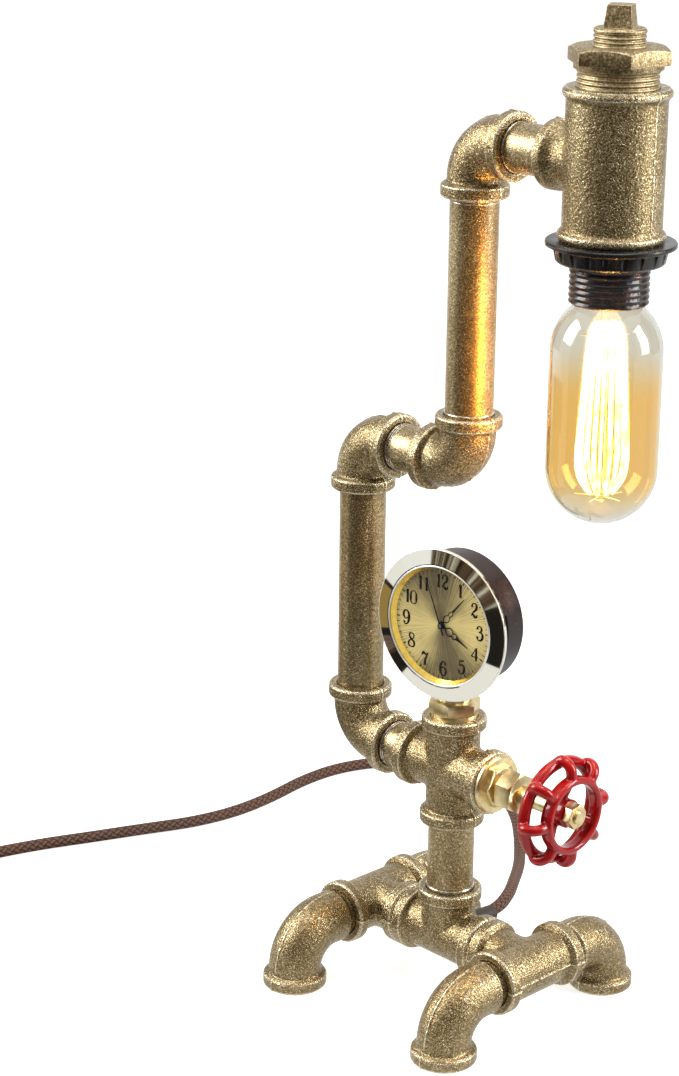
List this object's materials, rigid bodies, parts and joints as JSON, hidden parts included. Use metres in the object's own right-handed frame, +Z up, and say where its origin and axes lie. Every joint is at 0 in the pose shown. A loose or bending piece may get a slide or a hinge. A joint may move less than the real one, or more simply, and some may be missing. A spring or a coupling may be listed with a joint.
{
  "type": "table lamp",
  "caption": "Table lamp of threaded pipe fittings: turning swing arm and head, hanging tubular lamp, lobed handwheel switch and a small round clock.",
  "frame": {"origin": "on the table, under the middle of the lamp's box without its cord", "axes": "+Z up, +X towards the lamp head and handwheel, -Y towards the clock's face"},
  "size_m": [0.4533, 0.3256, 0.4586],
  "materials": {
    "cast_paint": "speckled antique bronze paint on cast iron",
    "pipe_paint": "speckled antique bronze paint on steel pipe",
    "polished_brass": "polished",
    "shell_brass": "spun, satin",
    "cap_solder": "solder",
    "red_enamel": "glossy enamel",
    "bezel_chrome": "polished",
    "black_case": "black, fine grain",
    "holder_black": "black with worn copper edges",
    "switch_plastic": "matte",
    "white_ceramic": "glazed",
    "black_rubber": "matte",
    "brown_textile": "braided",
    "lead_sheath": "matte",
    "amber_glass": "clear amber",
    "clear_glass": "clear",
    "hook_wire": "drawn",
    "filament_wire": "glowing",
    "dial_gold": "sunburst brushed",
    "ring_gold": "polished",
    "hand_black": "satin black"
  },
  "bodies": {
    "base": {"front_left_foot": "cast_paint", "rear_left_foot": "cast_paint", "front_right_foot": "cast_paint", "rear_right_foot": "cast_paint", "left_tee": "cast_paint", "right_tee": "cast_paint", "centre_tee": "cast_paint", "left_close_nipple": "pipe_paint", "right_close_nipple": "pipe_paint", "riser_nipple": "pipe_paint", "cross_fitting": "cast_paint", "side_nipple": "pipe_paint", "lower_elbow": "cast_paint", "lower_pipe": "pipe_paint", "cord_grommet": "black_rubber", "valve_bonnet": "polished_brass", "packing_nut": "polished_brass", "rotary_switch": "switch_plastic", "clock_bushing": "polished_brass", "clock_case": "black_case", "power_cord": "brown_textile", "cord_coil": "brown_textile", "mains_plug": "black_rubber", "base_lead": "lead_sheath"},
    "swing_arm": {"bend_elbow_lower": "cast_paint", "bend_nipple": "pipe_paint", "bend_elbow_upper": "cast_paint", "upper_pipe": "pipe_paint", "arm_lead": "lead_sheath"},
    "lamp_head": {"top_elbow": "cast_paint", "head_nipple": "pipe_paint", "head_tee": "cast_paint", "hex_bushing": "cast_paint", "square_plug": "cast_paint", "lamp_holder": "holder_black", "holder_floor": "white_ceramic", "screw_shell": "shell_brass", "centre_contact": "shell_brass", "head_lead": "lead_sheath"},
    "shade_ring": {"shade_ring": "holder_black"},
    "lamp": {"bulb_glass": "amber_glass", "bulb_cap": "shell_brass", "bulb_contact": "cap_solder", "glass_stem": "clear_glass", "upper_hooks": "hook_wire", "lower_hooks": "hook_wire", "filament": "filament_wire"},
    "wheel": {"handwheel": "red_enamel", "valve_spindle": "polished_brass", "wheel_nut": "polished_brass"},
    "clock_insert": {"clock_bezel": "bezel_chrome", "dial_ring": "ring_gold", "clock_dial": "dial_gold", "clock_glass": "clear_glass", "clock_movement": "switch_plastic", "setting_knob": "switch_plastic"},
    "hour_hand": {"hour_hand": "hand_black"},
    "minute_hand": {"minute_hand": "hand_black"},
    "second_hand": {"second_hand": "hand_black"}
  },
  "joints": [
    {"name": "arm_swing", "type": "hinge", "parent": "base", "child": "swing_arm", "pos_m": [-0.0765, 0, 0.2325], "axis": [0, 0, 1], "range_deg": [-60, 60]},
    {"name": "head_turn", "type": "hinge", "parent": "swing_arm", "child": "lamp_head", "pos_m": [-0.0115, 0, 0.3755], "axis": [0, 0, 1], "range_deg": [-90, 90]},
    {"name": "shade_ring_turn", "type": "hinge", "parent": "lamp_head", "child": "shade_ring", "pos_m": [0.0645, 0, 0.36], "axis": [0, 0, 1], "range_deg": [-720, 0]},
    {"name": "lamp_unscrew", "type": "hinge", "parent": "lamp_head", "child": "lamp", "pos_m": [0.0645, 0, 0.35], "axis": [0, 0, 1], "range_deg": [-1080, 0]},
    {"name": "wheel_turn", "type": "hinge", "parent": "base", "child": "wheel", "pos_m": [0.0545, 0, 0.109], "axis": [1, 0, 0], "range_deg": [0, 300]},
    {"name": "clock_pull", "type": "slide", "parent": "base", "child": "clock_insert", "axis": [0.1219, -0.9925, 0], "range_m": [0, 0.013]},
    {"name": "minute_turn", "type": "hinge", "parent": "clock_insert", "child": "minute_hand", "pos_m": [-0.0142, -0.01062, 0.1806], "axis": [-0.1219, 0.9925, 0], "continuous": true},
    {"name": "hour_turn", "type": "hinge", "parent": "clock_insert", "child": "hour_hand", "pos_m": [-0.0142, -0.01062, 0.1806], "axis": [-0.1219, 0.9925, 0], "continuous": true},
    {"name": "second_turn", "type": "hinge", "parent": "clock_insert", "child": "second_hand", "pos_m": [-0.0142, -0.01062, 0.1806], "axis": [-0.1219, 0.9925, 0], "continuous": true}
  ],
  "couplings": [
    {"joint": "hour_turn", "follows": "minute_turn", "ratio": 0.083333}
  ]
}
